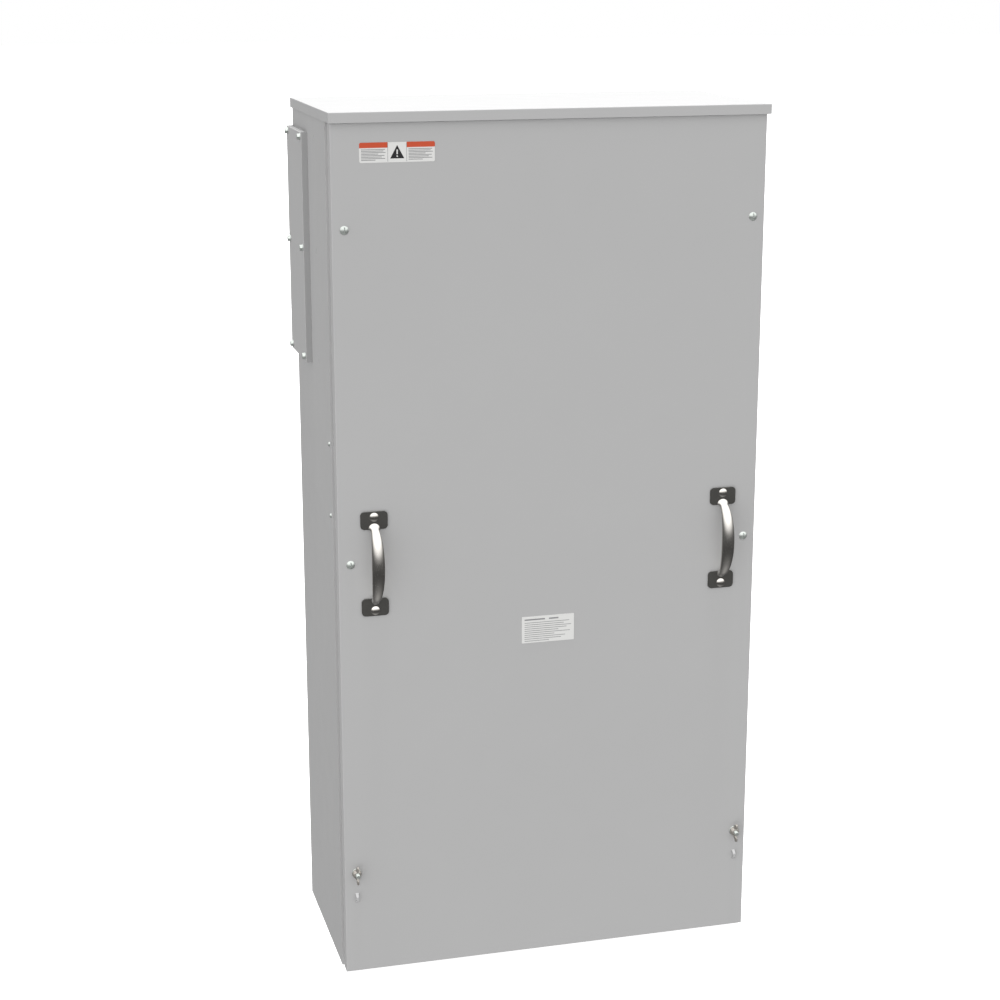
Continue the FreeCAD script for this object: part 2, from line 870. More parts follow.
def cover_gasket():
    """Foam strip that seals the cover against the collar flange."""
    outer = f"({COLLAR_HALF} - collar_clearance)"
    low = f"({COLLAR_BOTTOM} + collar_clearance)"
    high = f"({COLLAR_TOP} - collar_clearance)"
    depth = (f"{FRONT} + gauge", f"{COLLAR} - gasket_gap")
    strip = block((f"-{outer}", outer), depth, (low, high))
    wide = "gasket_width"
    hole = block((f"-{outer} + {wide}", f"{outer} - {wide}"),
                 (f"{FRONT}", f"{COLLAR} + gauge"), (f"{low} + {wide}", f"{high} - {wide}"))
    sub_part(cut(strip, hole), "cover_gasket")


def handle_plates():
    """Black backing plates under the handle feet."""
    plates = []
    for x, end in handle_plate_places():
        z = f"(handle_middle + {end} * handle_plate_offset)"
        points = rectangle(f"{x} - handle_plate_width / 2", f"{z} - handle_plate_height / 2",
                           f"{x} + handle_plate_width / 2", f"{z} + handle_plate_height / 2")
        body = padded("XZ_Plane", f"-{FRONT}", points, "handle_plate_thickness")
        round_edges(body, "handle_plate_corner", lambda edge: edge.BoundBox.YLength > 1)
        holes = [
            rod("+y", (x, f"{FRONT} - 3 * gauge", f"handle_middle + {end} * {offset}"), "5 * gauge",
                "handle_screw_radius + gasket_gap")
            for offset in ("handle_screw_offset", "handle_span / 2")
        ]
        plates.append(cut(body, *holes))
    sub_part(group(plates), "handle_plates")


def handle_grip(side):
    """A bowed grip lofted through level ellipses, with a foot flared outwards at each end."""
    x = f"{side} * handle_x"
    seat = f"({FRONT} - handle_plate_thickness)"
    swell = "(handle_half_width - handle_neck_radius)"
    rise = "(handle_reach - handle_plate_thickness - handle_neck_radius)"
    sections = []
    for step in range(GRIP_SECTIONS + 1):
        share = math.sin((step / GRIP_SECTIONS - 0.5) * math.pi)
        bow = math.sqrt(1 - share * share)
        ring = doc.addObject("Part::Ellipse", "Section")
        bind(ring, "MajorRadius", f"handle_neck_radius + {swell} * {bow:.6f}")
        bind(ring, "MinorRadius", f"(handle_neck_radius + {swell} * {bow:.6f}) * 0.94")
        place(ring, (x, f"{seat} - handle_neck_radius - {rise} * {bow:.6f}",
                     f"handle_middle + {share:.6f} * handle_span / 2"))
        sections.append(ring)
    bow = doc.addObject("Part::Loft", "Bow")
    bow.Sections = sections
    bow.Solid = True
    pieces = [bow]
    for end in SIDES:
        point = (x, seat, f"handle_middle + {end} * handle_span / 2")
        flare = rod("-y", point, "handle_foot_height", "handle_foot_radius", "handle_neck_radius")
        inner = (f"{point[2]} - {end} * handle_neck_radius",
                 f"{point[2]} - {end} * handle_foot_radius * 1.5")
        low, high = inner if end < 0 else inner[::-1]
        trim = block((f"{x} - handle_foot_radius", f"{x} + handle_foot_radius"),
                     (f"{seat} - handle_foot_height - overrun", f"{seat} + overrun"), (low, high))
        pieces.append(cut(flare, trim))
        pieces.append(rod("+y", point, "handle_plate_thickness + 2 * gauge", "handle_screw_radius"))
    return fuse(*pieces)


def handles():
    handle_plates()
    sub_part(group([handle_grip(side) for side in SIDES]), "handle_grips")
    screws = []
    for x, end in handle_plate_places():
        point = (x, f"{FRONT} - handle_plate_thickness",
                 f"handle_middle + {end} * handle_screw_offset")
        screws.append(round_screw("-y", point, "handle_screw_radius",
                                  "handle_plate_thickness + 2 * gauge"))
    sub_part(group(screws), "handle_screws")


def seal_loops():
    """Strips bent into a staple for a wire seal, open at both sides."""
    low = "seal_loop_bottom"
    high = "(seal_loop_bottom + seal_loop_height)"
    out = f"({FRONT} - seal_loop_reach)"
    thick = "seal_loop_thickness"
    inner_leg = "(seal_loop_leg + seal_loop_thickness / 2)"
    points = [
        (FRONT, high),
        (out, f"{high} - seal_loop_leg"),
        (out, f"{low} + seal_loop_leg"),
        (FRONT, low),
        (FRONT, f"{low} + {thick} * 1.3"),
        (f"{out} + {thick}", f"{low} + {inner_leg}"),
        (f"{out} + {thick}", f"{high} - {inner_leg}"),
        (FRONT, f"{high} - {thick} * 1.3"),
    ]
    loops = [padded("YZ_Plane", f"{side} * fixing_x", points, "seal_loop_width", midplane=True)
             for side in SIDES]
    sub_part(group(loops), "seal_loops")


def cover_labels():
    plates = []
    for name in ("safety_label", "rating_label"):
        plates.append(block(
            (f"{name}_left", f"{name}_left + {name}_width"),
            (f"{FRONT} - label_thickness", FRONT),
            (f"{name}_bottom", f"{name}_bottom + {name}_height"),
        ))
    sub_part(group(plates), "cover_labels")


def cover_fasteners():
    reach = "collar_setback + gauge + clip_thickness + clip_nut_height"
    screws = [slotted_screw("-y", (x, FRONT, z), "stud_radius", reach)
              for x, z in cover_screw_places()]
    sub_part(group(screws), "cover_screws")
    washers = []
    for side in SIDES:
        point = (f"{side} * fixing_x", FRONT, "stud_height")
        disc = rod("-y", point, "washer_thickness", "washer_radius")
        bore = rod("-y", moved(point, "+y", "overrun"), "washer_thickness + 2 * overrun",
                   "stud_radius + gasket_gap")
        washers.append(cut(disc, bore))
    sub_part(group(washers), "stud_washers")
    for side, name in zip(SIDES, ("wing_nut_left", "wing_nut_right")):
        sub_part(wing_nut(side), name)


def wing_nut(side):
    """A coned hub with two upright wings that taper to their tips and lean outwards."""
    seat = f"({FRONT} - washer_thickness)"
    middle = "stud_height"
    point = (f"{side} * fixing_x", seat, middle)
    hub = rod("-y", point, "nut_height", "nut_base_radius", "nut_top_radius")
    profile = [("0", "nut_base_radius"), ("wing_shoulder", "wing_shoulder_rise"),
               ("wing_tip", "wing_tip_rise"), ("wing_corner", "wing_corner_rise"),
               ("wing_root", "wing_root_rise")]
    upper = [(f"{seat} - {out}", f"{middle} + {rise}") for out, rise in profile]
    lower = [(f"{seat} - {out}", f"{middle} - {rise}") for out, rise in reversed(profile)]
    side_view = padded("YZ_Plane", f"{side} * fixing_x", upper + lower, "2 * nut_base_radius",
                       midplane=True)
    widths = [("wing_tip_half_width", "wing_tip_rise + overrun"),
              ("wing_corner_half_width", "wing_corner_rise"), ("nut_top_radius", "wing_root_rise")]
    right = widths + [(half, f"-({rise})") for half, rise in reversed(widths)]
    outline = [(f"{side} * fixing_x + {half}", f"{middle} + {rise}") for half, rise in right]
    outline += [(f"{side} * fixing_x - {half}", f"{middle} + {rise}") for half, rise in reversed(right)]
    front_view = padded("XZ_Plane", f"-({seat})", outline, "wing_corner + overrun")
    wings = doc.addObject("Part::MultiCommon", "Wings")
    wings.Shapes = [side_view, front_view]
    bore = rod("-y", moved(point, "+y", "overrun"), "2 * wing_corner", "stud_radius + running_gap")
    return cut(fuse(hub, wings), bore)


# ---------------------------------------------------------------- side access cover


def side_cover():
    """Shallow pan over the opening beside the service lugs, with its gasket and screws."""
    low = "side_cover_bottom"
    high = "(side_cover_bottom + side_cover_height)"
    body = padded("YZ_Plane", f"-{HALF}", rectangle("side_cover_front", low, BACK, high),
                  "side_cover_depth", reverse=True)
    outer = -SIZES["cabinet_width"] / 2 - SIZES["side_cover_depth"]
    round_edges(body, "bend_radius", on_plane("X", outer))
    holes = [block((f"-{HALF} - side_cover_depth + gauge", f"-{HALF} + overrun"),
                   ("side_cover_front + gauge", f"{BACK} - gauge"),
                   (f"{low} + gauge", f"{high} - gauge"))]
    holes += [rod("-x", (f"-{HALF}", y, z), "side_cover_depth * 2", "small_screw_radius + gasket_gap")
              for y, z in side_screw_places()]
    sub_part(cut(body, *holes), "side_cover")
    inset = "(side_opening_margin / 4)"
    clear = "(side_opening_margin * 0.8)"
    depth = (f"-{HALF} - side_cover_depth + gauge", f"-{HALF} - gasket_gap")
    strip = block(depth, (f"side_cover_front + {clear}", f"{BACK} - {clear}"),
                  (f"{low} + {clear}", f"{high} - {clear}"))
    hole = block((f"-{HALF} - side_cover_depth", f"-{HALF}"),
                 (f"side_cover_front + {clear} + {inset}", f"{BACK} - {clear} - {inset}"),
                 (f"{low} + {clear} + {inset}", f"{high} - {clear} - {inset}"))
    sub_part(cut(strip, hole), "side_gasket")
    screws = [hex_screw("-x", (f"-{HALF} - side_cover_depth", y, z),
                        "side_cover_depth + 2 * gauge") for y, z in side_screw_places()]
    sub_part(group(screws), "side_cover_screws")


# ---------------------------------------------------------------- mounting panel


def standoff_places():
    return [
        (f"{side} * (panel_width / 2 - standoff_inset_x)", z)
        for side in SIDES
        for z in ("panel_bottom + standoff_inset_z", "panel_top - standoff_inset_z")
    ]


def transfer_feet():
    return [(f"{side} * base_screw_x", z, "base_thickness") for side in SIDES
            for z in ("base_bottom + base_screw_inset", "base_top - base_screw_inset")]


def breaker_feet():
    return [(f"{side} * (breaker_half_width + ear_reach / 2)", f"breaker_bottom + {z}", "ear_thickness")
            for side in SIDES for z in ("ear_low", "ear_high")]


def controller_feet():
    columns = ("controller_left + controller_screw_inset",
               "controller_left + controller_width - controller_screw_inset")
    rows = ("controller_bottom - foot_screw", "controller_bottom + controller_height + foot_screw")
    return [(x, z, "foot_thickness") for x in columns for z in rows]


def middle_feet(name):
    """Screws above and below the middle of a device."""
    rows = (f"{name}_bottom - foot_screw", f"{name}_bottom + {name}_height + foot_screw")
    return [(f"{name}_left + {name}_width / 2", z, "foot_thickness") for z in rows]


def device_screw_places():
    """Places on the panel, with how far in front of it each screw head sits."""
    return (transfer_feet() + breaker_feet() + controller_feet() + middle_feet("fuse")
            + middle_feet("transformer"))


def mounting_panel():
    """Steel panel on four standoffs, tapped for the screws of every device."""
    plate = block(("-panel_width / 2", "panel_width / 2"), (PANEL, PANEL_BACK),
                  ("panel_bottom", "panel_top"))
    before = f"{PANEL} - gauge"
    holes = [rod("+y", (x, before, z), "4 * gauge", "panel_stud_radius + gasket_gap")
             for x, z in standoff_places()]
    holes += [rod("+y", (x, before, z), "4 * gauge", "device_screw_radius + running_gap")
              for x, z, _ in device_screw_places()]
    sub_part(cut(plate, *holes), "mounting_panel")
    pieces = []
    for x, z in standoff_places():
        spacer = rod("-y", (x, f"{BACK} - gauge", z), "panel_standoff", "standoff_radius")
        stud = rod("-y", (x, PANEL_BACK, z), "panel_gauge + panel_nut_height + panel_stud_end",
                   "panel_stud_radius")
        pieces.append(fuse(spacer, stud))
        nut = hexagon("-y", (x, PANEL, z), "panel_nut_height", "panel_nut_across")
        pieces.append(cut(nut, rod("-y", (x, PANEL_BACK, z), "4 * panel_nut_height",
                                   "panel_stud_radius + running_gap")))
    sub_part(group(pieces), "panel_standoffs")
    screws = [device_screw("-y", (x, f"{PANEL} - {front}", z), f"{front} + panel_gauge + gauge")
              for x, z, front in device_screw_places()]
    screws += [device_screw("+z", (x, y, "2 * gauge"), "2 * gauge") for x, y in gland_screw_places()]
    sub_part(group(screws), "device_screws")


# ---------------------------------------------------------------- transfer mechanism


def pole_x(pole, offset="0"):
    return f"({pole} * pole_pitch + {offset})"


def span(pole, half):
    return (f"{pole} * pole_pitch - {half}", f"{pole} * pole_pitch + {half}")


def screw_holes(places):
    """Clearance holes for device screws through a foot that lies on the panel."""
    return [rod("-y", (x, PANEL_BACK, z), "base_thickness + 3 * gauge",
                "device_screw_radius + gasket_gap") for x, z, _ in places]


def transfer_base():
    """Moulded insulating base with pedestals under the emergency bars."""
    plate = block(("-base_half_width", "base_half_width"), (BASE, PANEL),
                  ("base_bottom", "base_top"))
    pedestals = []
    for pole in POLES:
        for side in SIDES:
            near = f"{side} * bar_half_width"
            far = f"{side} * wide_bar_half"
            low, high = (near, far) if side > 0 else (far, near)
            pedestals.append(block((pole_x(pole, low), pole_x(pole, high)),
                                   ("emergency_riser_y + bar_thickness", BASE),
                                   ("pedestal_bottom", "pedestal_bottom + pedestal_height")))
    sub_part(cut(fuse(plate, *pedestals), *screw_holes(transfer_feet())), "transfer_base")


LIFT = "(arm_thickness / 2 + contact_gap + contact_radius)"
CONTACT_Y = (f"(shaft_y - contact_reach * cos(contact_angle) + {LIFT} * sin(contact_angle))")
CONTACT_RISE = f"(contact_reach * sin(contact_angle) + {LIFT} * cos(contact_angle))"
BAR_RISE = f"({CONTACT_RISE} + contact_radius / 2)"


def contact_bar(pole, side):
    """The forward copper bar of one source, with its rounded silver-alloy contact."""
    rise = [f"shaft_z + {side} * {BAR_RISE}", f"shaft_z + {side} * ({BAR_RISE} + bar_thickness)"]
    low, high = rise if side > 0 else rise[::-1]
    end = "emergency_riser_y + bar_thickness" if side < 0 else BASE
    bar = block(span(pole, "bar_half_width"), ("bar_front", end), (low, high))
    tip = rod("+x", (pole_x(pole, "-arm_width / 2"), CONTACT_Y,
                     f"shaft_z + {side} * {CONTACT_RISE}"), "arm_width", "contact_radius")
    return [bar, tip]


def stationary_bars():
    """Copper bars of the normal source, the emergency source and the load."""
    top = f"shaft_z + {BAR_RISE}"
    bottom = f"shaft_z - {BAR_RISE}"
    normal, emergency, load = [], [], []
    for pole in POLES:
        riser = block(span(pole, "bar_half_width"), (f"{BASE} - bar_thickness", BASE),
                      (top, "normal_bar_end"))
        normal.append(fuse(riser, *contact_bar(pole, 1)))
        riser = block(span(pole, "wide_bar_half"),
                      ("emergency_riser_y", "emergency_riser_y + bar_thickness"),
                      ("emergency_bar_end", bottom))
        emergency.append(fuse(riser, *contact_bar(pole, -1)))
        strap = block(span(pole, "load_bar_half"), (f"{BASE} - bar_thickness", BASE),
                      ("load_bar_end", "load_bar_top"))
        shoe = block(span(pole, "arm_width / 2"), ("shaft_y + crossbar_half", f"{BASE} - bar_thickness"),
                     ("shaft_z - crossbar_half", "shaft_z + crossbar_half"))
        sweep = rod("+x", (pole_x(pole, "-pole_pitch / 2"), "shaft_y", "shaft_z"), "pole_pitch",
                    "collar_ring_radius + running_gap")
        load.append(cut(fuse(strap, shoe), sweep))
    sub_part(group(normal), "normal_bars")
    sub_part(group(emergency), "emergency_bars")
    sub_part(group(load), "load_bars")


def phase_barriers():
    plates = []
    for step in (-1.5, -0.5, 0.5, 1.5):
        x = f"{step} * pole_pitch"
        plate = block((f"{x} - barrier_thickness / 2", f"{x} + barrier_thickness / 2"),
                      ("barrier_front", BASE), ("barrier_bottom", "barrier_top"))
        hole = rod("+x", (f"{x} - barrier_thickness", "shaft_y", "shaft_z"),
                   "2 * barrier_thickness", "barrier_hole_radius")
        plates.append(cut(plate, hole))
    sub_part(group(plates), "phase_barriers")


def arc_chutes():
    """Slotted arc boxes in front of each pair of contacts."""
    chutes = []
    half = "(pole_pitch / 2 - barrier_thickness / 2 - gasket_gap)"
    for pole in POLES:
        for side in SIDES:
            near = f"shaft_z + {side} * chute_gap"
            far = f"shaft_z + {side} * (chute_gap + chute_height)"
            low, high = (near, far) if side > 0 else (far, near)
            box = block(span(pole, half), ("chute_front", "chute_back"), (low, high))
            slots = [
                block(span(pole, f"({half} - chute_wall)"),
                      ("chute_front + chute_wall", "chute_back + overrun"),
                      (f"{low} + {step} * 2 * chute_slot + chute_lead",
                       f"{low} + {step} * 2 * chute_slot + chute_lead + chute_slot"))
                for step in range(CHUTE_SLOTS)
            ]
            chutes.append(cut(box, *slots))
    sub_part(group(chutes), "arc_chutes")


def mechanism_frame():
    """Steel side plates on the base, with bronze bushes for the shaft."""
    plates, bushes = [], []
    for side in SIDES:
        near = f"{side} * side_plate_inner"
        far = f"{side} * (side_plate_inner + side_plate_thickness)"
        x = (near, far) if side > 0 else (far, near)
        plate = block(x, ("side_plate_front", BASE),
                      ("shaft_z - side_plate_half_height", "shaft_z + side_plate_half_height"))
        hole = rod("+x", (f"{x[0]} - overrun", "shaft_y", "shaft_z"),
                   "side_plate_thickness + 2 * overrun", "bush_radius + running_gap")
        plates.append(cut(plate, hole))
        start = f"{side} * (side_plate_inner + side_plate_thickness / 2) - bush_half_length"
        bush = rod("+x", (start, "shaft_y", "shaft_z"), "2 * bush_half_length", "bush_radius")
        bore = rod("+x", (f"{start} - overrun", "shaft_y", "shaft_z"),
                   "2 * bush_half_length + 2 * overrun", "shaft_radius + running_gap")
        bushes.append(cut(bush, bore))
    sub_part(group(plates), "side_plates")
    sub_part(group(bushes), "shaft_bushes")


def on_shaft(item, label):
    """Turn a piece drawn about the shaft axis to the normal-source position."""
    item.Placement.Rotation = Rotation(Vector(-1, 0, 0), SIZES["contact_angle"])
    bind(item, ".Placement.Base.y", "shaft_y")
    bind(item, ".Placement.Base.z", "shaft_z")
    bind(item, ".Placement.Rotation.Angle", "contact_angle")
    sub_part(item, label)


CRANK_X = "(shaft_right - crank_thickness)"


def rotating_parts():
    """Shaft with crank, moulded crossbar, contact arms, hand lever and indicator."""
    bar = rod("+x", ("-shaft_left", "0", "0"), "shaft_left + shaft_right", "shaft_radius")
    crank = block((CRANK_X, "shaft_right"), ("-crank_radius - crank_half_height", "crank_half_height"),
                  ("-crank_half_height", "crank_half_height"))
    pin = rod("+x", (CRANK_X, "-crank_radius", "0"), "crank_thickness + pin_length", "pin_radius")
    on_shaft(fuse(bar, crank, pin), "main_shaft")

    half = "crossbar_half"
    beam = block(("-crossbar_reach", "crossbar_reach"), (f"-{half}", half), (f"-{half}", half))
    bore = rod("+x", ("-crossbar_reach - overrun", "0", "0"), "2 * crossbar_reach + 2 * overrun",
               "shaft_radius + running_gap")
    on_shaft(cut(beam, bore), "crossbar")

    arms = []
    for pole in POLES:
        arm = block(span(pole, "arm_width / 2"), ("-arm_length", "-crossbar_half"),
                    ("-arm_thickness / 2", "arm_thickness / 2"))
        ring = rod("+x", (pole_x(pole, "-arm_width / 2"), "0", "0"), "arm_width",
                   "collar_ring_radius")
        seat = "(crossbar_half + running_gap)"
        passage = block(span(pole, "arm_width"), (f"-{seat}", seat), (f"-{seat}", seat))
        arms.append(cut(fuse(arm, ring), passage))
    on_shaft(group(arms), "moving_contacts")

    hub = rod("+x", ("-shaft_left", "0", "0"), "lever_hub_length", "lever_hub_radius")
    near = "(-shaft_left + lever_inset)"
    stem = block((near, f"{near} + lever_thickness"), ("-lever_length", "0"),
                 ("-lever_half_width", "lever_half_width"))
    grip = rod("-y", (f"{near} + lever_thickness / 2", "-lever_length + lever_grip_length / 2", "0"),
               "lever_grip_length", "lever_grip_radius", "lever_grip_radius * 0.8")
    socket = rod("+x", ("-shaft_left - overrun", "0", "0"), "lever_hub_length + 2 * overrun",
                 "shaft_radius + running_gap")
    on_shaft(cut(fuse(hub, stem, grip), socket), "manual_handle")

    start = "(-shaft_left + indicator_offset)"
    disc = rod("+x", (start, "0", "0"), "indicator_thickness", "indicator_radius")
    hole = rod("+x", (f"{start} - overrun", "0", "0"), "indicator_thickness + 2 * overrun",
               "shaft_radius + running_gap")
    on_shaft(cut(disc, hole), "position_indicator")


PIN_Z = "(shaft_z + crank_radius * sin(contact_angle))"
SOLENOID_X = "(shaft_right + clevis_gap + clevis_width / 2)"


def solenoid():
    """Frame, coil and plunger that drive the crank between its two positions."""
    x = SOLENOID_X
    top = "solenoid_bottom + solenoid_height"
    half = "solenoid_half_width"
    front = "plunger_y - coil_radius - solenoid_plate"
    frame = block((f"{x} - {half}", f"{x} + {half}"), (front, PANEL), ("solenoid_bottom", top))
    room = block((f"{x} - {half} - overrun", f"{x} + {half} + overrun"),
                 (f"{front} - overrun", f"{PANEL} - solenoid_plate"),
                 ("solenoid_bottom + solenoid_plate", f"{top} - solenoid_plate"))
    bore = rod("+z", (x, "plunger_y", f"{top} - 2 * solenoid_plate"), "4 * solenoid_plate",
               "plunger_radius + gasket_gap * 3")
    sub_part(cut(frame, room, bore), "solenoid_frame")

    low = "(solenoid_bottom + solenoid_plate)"
    length = "solenoid_height - 2 * solenoid_plate"
    winding = rod("+z", (x, "plunger_y", low), length, "coil_radius - cheek_lip")
    cheeks = [rod("+z", (x, "plunger_y", f"{low} + {share} * ({length} - cheek_thickness)"),
                  "cheek_thickness", "coil_radius") for share in (0, 1)]
    tube = rod("+z", (x, "plunger_y", f"{low} - overrun"), "solenoid_height",
               "plunger_radius + gasket_gap * 2")
    sub_part(cut(fuse(winding, *cheeks), tube), "solenoid_coil")

    start = f"({PIN_Z} - clevis_half_height)"
    head = block((f"{x} - clevis_width / 2", f"{x} + clevis_width / 2"),
                 ("plunger_y - clevis_half_depth", "plunger_y + clevis_half_depth"),
                 (start, f"{PIN_Z} + clevis_half_height"))
    slot = block((f"{x} - clevis_width", f"{x} + clevis_width"),
                 ("plunger_y - clevis_slot_depth", "plunger_y + clevis_slot_depth"),
                 (f"{PIN_Z} - clevis_slot_half", f"{PIN_Z} + clevis_slot_half"))
    stem = rod("-z", (x, "plunger_y", start), "plunger_length", "plunger_radius")
    sub_part(cut(fuse(head, stem), slot), "solenoid_plunger")


def auxiliary_switches():
    """Two snap switches on the right-hand side plate that report the position."""
    wall = "(side_plate_inner + side_plate_thickness)"
    front = "(shaft_y + switch_setback)"
    lever_x = f"({wall} + switch_lever_inset)"
    switches = []
    for side in SIDES:
        middle = f"(shaft_z + {side} * switch_offset)"
        case = block((wall, f"{wall} + switch_width"), (front, f"{front} + switch_depth"),
                     (f"{middle} - switch_half_height", f"{middle} + switch_half_height"))
        lever = block((lever_x, f"{lever_x} + switch_lever_thickness"),
                      (f"{front} - switch_lever_length", front),
                      (f"{middle} - switch_lever_half_height", f"{middle} + switch_lever_half_height"))
        switches.append(fuse(case, lever))
    sub_part(group(switches), "auxiliary_switches")


def lug(x, y, z):
    """One clamp lug: its block with a cable way, and its set screw."""
    half = "lug_width / 2"
    body = block((f"{x} - {half}", f"{x} + {half}"), (f"{y} - lug_depth", y),
                 (f"{z}", f"{z} + lug_height"))
    way = hexagon("+z", (x, f"{y} - lug_depth / 2", f"{z} - overrun"), "lug_height + 2 * overrun",
                  "lug_opening")
    centre = (x, f"{y} - lug_depth", f"{z} + lug_height / 2")
    hole = rod("+y", moved(centre, "-y", "overrun"), "lug_depth / 2", "lug_screw_radius + running_gap")
    screw = set_screw("-y", moved(centre, "-y", "lug_screw_stand"), "lug_depth / 2 - lug_screw_gap")
    return cut(body, way, hole), screw


def cable_lugs():
    """Clamp lugs of the service, the generator and the load."""
    lugs, screws = [], []
    service_z = "(breaker_top - lug_height)"
    for pole in POLES:
        x = pole_x(pole)
        for y, z in (
            ("(breaker_split + lug_depth + service_lug_setback)", service_z),
            ("emergency_riser_y", "emergency_bar_end"),
            (f"({BASE} - bar_thickness)", "load_bar_end"),
        ):
            block_, screw = lug(x, y, z)
            lugs.append(block_)
            screws.append(screw)
    for x in ways("neutral", NEUTRAL_WAYS):
        front = f"{PANEL} - insulator_length - neutral_depth"
        point = (x, f"{front} - lug_screw_stand", "neutral_bottom + neutral_height / 2")
        screws.append(set_screw("-y", point, "neutral_depth / 2 - lug_screw_stand"))
    sub_part(group(lugs), "cable_lugs")
    sub_part(group(screws), "lug_screws")


# ---------------------------------------------------------------- service circuit breaker


def breaker():
    """Moulded-case service breaker: base, cover, toggle and push-to-trip button."""
    half = "breaker_half_width"
    case = block((f"-{half}", half), ("breaker_split", PANEL), ("breaker_bottom", "breaker_top"))
    ears = [block((f"-{half} - ear_reach", f"{half} + ear_reach"), (f"{PANEL} - ear_thickness", PANEL),
                  (f"breaker_bottom + {z} - ear_reach", f"breaker_bottom + {z} + ear_reach"))
            for z in ("ear_low", "ear_high")]
    pockets = []
    for pole in POLES:
        for low, high in (("breaker_bottom - overrun", "breaker_bottom + terminal_depth"),
                          ("breaker_top - terminal_depth", "breaker_top + overrun")):
            pockets.append(block(span(pole, "(lug_width / 2 + gauge)"),
                                 ("breaker_split - overrun", f"{PANEL} - terminal_floor"),
                                 (low, high)))
    sub_part(cut(fuse(case, *ears), *pockets, *screw_holes(breaker_feet())), "breaker_base")

    points = rectangle(f"-{half}", "breaker_bottom", half, "breaker_top")
    cover = padded("XZ_Plane", "-breaker_split", points, "breaker_split - breaker_front")
    round_edges(cover, "breaker_corner", on_plane("Y", SIZES["breaker_front"]))
    before = "breaker_front - overrun"
    room = block(("-toggle_barrel_radius - toggle_well_gap", "toggle_barrel_radius + toggle_well_gap"),
                 (before, "breaker_split - toggle_well_floor"),
                 ("toggle_z - toggle_well_half", "toggle_z + toggle_well_half"))
    hole = rod("+y", ("trip_x", before, "trip_z"), "breaker_split", "trip_radius + gasket_gap")
    openings = []
    for pole in POLES:
        for z in ("breaker_bottom + lug_height / 2", "breaker_top - lug_height / 2"):
            openings.append(block(span(pole, "access_half"), (before, "breaker_split + overrun"),
                                  (f"{z} - access_half", f"{z} + access_half")))
    sub_part(cut(cover, room, hole, *openings), "breaker_cover")

    barrel = rod("+x", ("-toggle_barrel_radius", "0", "0"), "2 * toggle_barrel_radius",
                 "toggle_barrel_radius")
    lever = block(("-toggle_half_width", "toggle_half_width"), ("-toggle_length", "0"),
                  ("-toggle_half_thickness", "toggle_half_thickness"))
    toggle = fuse(barrel, lever)
    toggle.Placement.Rotation = Rotation(Vector(-1, 0, 0), SIZES["toggle_angle"])
    bind(toggle, ".Placement.Base.y", "toggle_y")
    bind(toggle, ".Placement.Base.z", "toggle_z")
    bind(toggle, ".Placement.Rotation.Angle", "toggle_angle")
    sub_part(toggle, "breaker_toggle")

    button = rod("+y", ("trip_x", "breaker_front - trip_stand", "trip_z"),
                 "trip_stand + trip_length", "trip_radius")
    sub_part(button, "trip_button")


# ---------------------------------------------------------------- controls and terminals


def foot_plate(name, inset):
    """The thin foot under a device, reaching past it above and below."""
    return block((f"{name}_left + {inset}", f"{name}_left + {name}_width - {inset}"),
                 (f"{PANEL} - foot_thickness", PANEL),
                 (f"{name}_bottom - foot_reach", f"{name}_bottom + {name}_height + foot_reach"))


def controller():
    """Control module with display bezel, test button and mode selector."""
    left, right = "controller_left", "(controller_left + controller_width)"
    low, high = "controller_bottom", "(controller_bottom + controller_height)"
    front = f"({PANEL} - controller_depth)"
    case = padded("XZ_Plane", f"-({PANEL} - foot_thickness)", rectangle(left, low, right, high),
                  "controller_depth - foot_thickness")
    foremost = case.Shape.BoundBox.YMin
    round_edges(case, "breaker_corner", on_plane("Y", foremost))
    bezel = block((f"{left} + bezel_inset", f"{right} - bezel_inset"),
                  (f"{front} - overrun", f"{front} + bezel_depth"),
                  (f"{high} - bezel_drop - bezel_height", f"{high} - bezel_drop"))
    button_x, button_z = f"{left} + button_x", f"{low} + button_z"
    knob_x, knob_z = f"{left} + knob_x", f"{low} + knob_z"
    button_hole = rod("+y", (button_x, f"{front} - overrun", button_z), "control_hole_depth",
                      "button_radius + gasket_gap")
    knob_hole = rod("+y", (knob_x, f"{front} - overrun", knob_z), "control_hole_depth",
                    "knob_stem_radius + gasket_gap")
    sub_part(cut(fuse(case, foot_plate("controller", "0")), bezel, button_hole, knob_hole,
                 *screw_holes(controller_feet())), "controller_housing")
    button = rod("+y", (button_x, f"{front} - button_stand", button_z),
                 "button_stand + button_length", "button_radius")
    sub_part(button, "test_button")
    seat = f"({front} - knob_gap)"
    skirt = rod("-y", (knob_x, seat, knob_z), "knob_skirt", "knob_radius")
    pointer = block((f"{knob_x} - knob_half_width", f"{knob_x} + knob_half_width"),
                    (f"{seat} - knob_height", seat),
                    (f"{knob_z} - knob_radius + overrun", f"{knob_z} + knob_radius - overrun"))
    stem = rod("+y", (knob_x, seat, knob_z), "knob_stem_length", "knob_stem_radius")
    sub_part(fuse(skirt, pointer, stem), "selector_knob")


